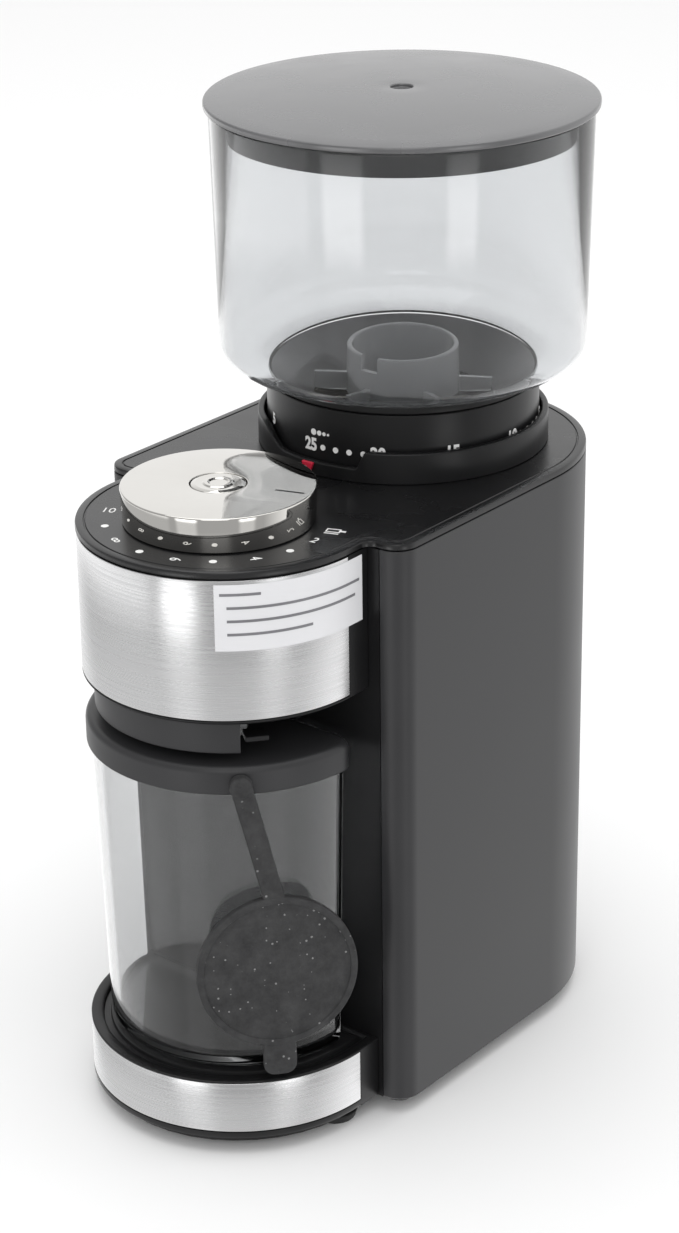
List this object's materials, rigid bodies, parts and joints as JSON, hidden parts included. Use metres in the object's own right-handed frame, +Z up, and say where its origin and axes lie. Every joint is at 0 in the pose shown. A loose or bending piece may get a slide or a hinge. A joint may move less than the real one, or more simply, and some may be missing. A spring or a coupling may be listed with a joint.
{
  "type": "burr coffee grinder",
  "caption": "Upright electric burr coffee grinder: round clear bean hopper on a setting ring, timer dial with start button, and a clear grounds jar with a silicone cap.",
  "frame": {"origin": "on the table under the middle of the object's outer box", "axes": "+Z up, -Y is the front with the dial and jar, +X is the side to the right of someone facing the front"},
  "size_m": [0.119, 0.1911, 0.3],
  "materials": {
    "black_plastic": "satin, fine grain",
    "grey_plastic": "satin, slightly brushed looking",
    "brushed_steel": "brushed along its length",
    "chrome": "polished",
    "smoke_clear": "clear smoky plastic, polished",
    "rubber": "matte",
    "silicone": "matte, picks up dust",
    "red_plastic": "satin",
    "die_cast": "as cast",
    "tool_steel": "ground",
    "nylon": "moulded",
    "bronze": "machined",
    "circuit_board": "lacquered"
  },
  "bodies": {
    "root": {"base_cover": "black_plastic", "base_tray": "black_plastic", "front_panel": "black_plastic", "top_cover": "black_plastic", "head_shell": "black_plastic", "head_skirt": "black_plastic", "grounds_chute": "black_plastic", "start_switch": "black_plastic", "interlock_switch": "black_plastic", "motor_end_cap": "black_plastic", "collar": "black_plastic", "rear_housing": "grey_plastic", "base_trim_band": "brushed_steel", "head_trim_band": "brushed_steel", "foot_front_left": "rubber", "foot_front_right": "rubber", "foot_rear_left": "rubber", "foot_rear_right": "rubber", "cord_gland": "rubber", "setting_pointer": "red_plastic", "grinding_chamber": "die_cast", "field_magnets": "die_cast", "base_screw_front_left": "tool_steel", "base_screw_front_right": "tool_steel", "base_screw_rear_left": "tool_steel", "base_screw_rear_right": "tool_steel", "motor_can": "tool_steel", "upper_bearing": "tool_steel", "idler_pin": "tool_steel", "timer_encoder": "nylon", "gearbox_case": "nylon", "gearbox_cover": "nylon", "lower_bush": "bronze", "control_board": "circuit_board", "power_board": "circuit_board"},
    "setting_ring": {"adjusting_ring": "black_plastic"},
    "burr_carrier": {"burr_carrier": "nylon", "upper_burr": "tool_steel"},
    "hopper": {"hopper_neck": "black_plastic", "hopper_shell": "smoke_clear", "hopper_guard": "smoke_clear"},
    "hopper_lid": {"hopper_lid": "grey_plastic", "lid_plug": "grey_plastic"},
    "motor_rotor": {"motor_armature": "bronze", "motor_pinion": "tool_steel"},
    "idler": {"idler_gear": "nylon"},
    "burr_spindle": {"burr_shaft": "tool_steel", "output_gear": "nylon", "lower_burr": "tool_steel", "grounds_sweeper": "nylon", "burr_nut": "tool_steel"},
    "dial": {"dial_knob": "chrome"},
    "start_button": {"start_button": "chrome"},
    "jar": {"jar_shell": "smoke_clear", "jar_lid": "black_plastic", "cap_stud": "silicone"},
    "jar_cap": {"jar_cap": "silicone"},
    "interlock_plunger": {"interlock_plunger": "nylon"},
    "switch_lever": {"switch_lever": "black_plastic"}
  },
  "joints": [
    {"name": "motor_spin", "type": "hinge", "parent": "root", "child": "motor_rotor", "pos_m": [0, -0.002, 0.065], "axis": [0, 0, 1], "continuous": true},
    {"name": "idler_spin", "type": "hinge", "parent": "root", "child": "idler", "pos_m": [0.01894, 0.01274, 0.125], "axis": [0, 0, 1], "continuous": true},
    {"name": "burr_spin", "type": "hinge", "parent": "root", "child": "burr_spindle", "pos_m": [0, 0.036, 0.15], "axis": [0, 0, 1], "continuous": true},
    {"name": "setting_turn", "type": "hinge", "parent": "root", "child": "setting_ring", "pos_m": [0, 0.036, 0.2], "axis": [0, 0, 1], "range_deg": [-147.6, 0]},
    {"name": "carrier_travel", "type": "slide", "parent": "root", "child": "burr_carrier", "axis": [0, 0, 1], "range_m": [-0.0016, 0.0001]},
    {"name": "hopper_lift", "type": "slide", "parent": "setting_ring", "child": "hopper", "axis": [0, 0, 1], "range_m": [0, 0.05]},
    {"name": "lid_lift", "type": "slide", "parent": "hopper", "child": "hopper_lid", "axis": [0, 0, 1], "range_m": [0, 0.05]},
    {"name": "dial_turn", "type": "hinge", "parent": "root", "child": "dial", "pos_m": [0, -0.0525, 0.195], "axis": [0, 0, 1], "range_deg": [-173, 0]},
    {"name": "button_press", "type": "slide", "parent": "root", "child": "start_button", "axis": [0, 0, -1], "range_m": [0, 0.0015], "stiffness_N_per_m": 600, "springref_m": -0.002},
    {"name": "jar_pull", "type": "slide", "parent": "root", "child": "jar", "axis": [0, -1, 0], "range_m": [0, 0.11]},
    {"name": "cap_swing", "type": "hinge", "parent": "jar", "child": "jar_cap", "pos_m": [0.03135, -0.08271, 0.1187], "axis": [-0.7373, -0.6756, 0], "range_deg": [0, 80]},
    {"name": "interlock_press", "type": "slide", "parent": "root", "child": "interlock_plunger", "axis": [0, 0, -1], "range_m": [0, 0.0015], "stiffness_N_per_m": 200, "springref_m": -0.002},
    {"name": "lever_press", "type": "hinge", "parent": "root", "child": "switch_lever", "pos_m": [0.02643, -0.07068, 0.136], "axis": [-0.6428, -0.766, 0], "range_deg": [0, 8], "stiffness_Nm_per_rad": 0.01, "springref_deg": -5.73}
  ],
  "couplings": [
    {"joint": "idler_spin", "follows": "motor_spin", "ratio": -0.25},
    {"joint": "burr_spin", "follows": "motor_spin", "ratio": 0.0625},
    {"joint": "carrier_travel", "follows": "setting_turn", "m_per_rad": 0.000582}
  ]
}
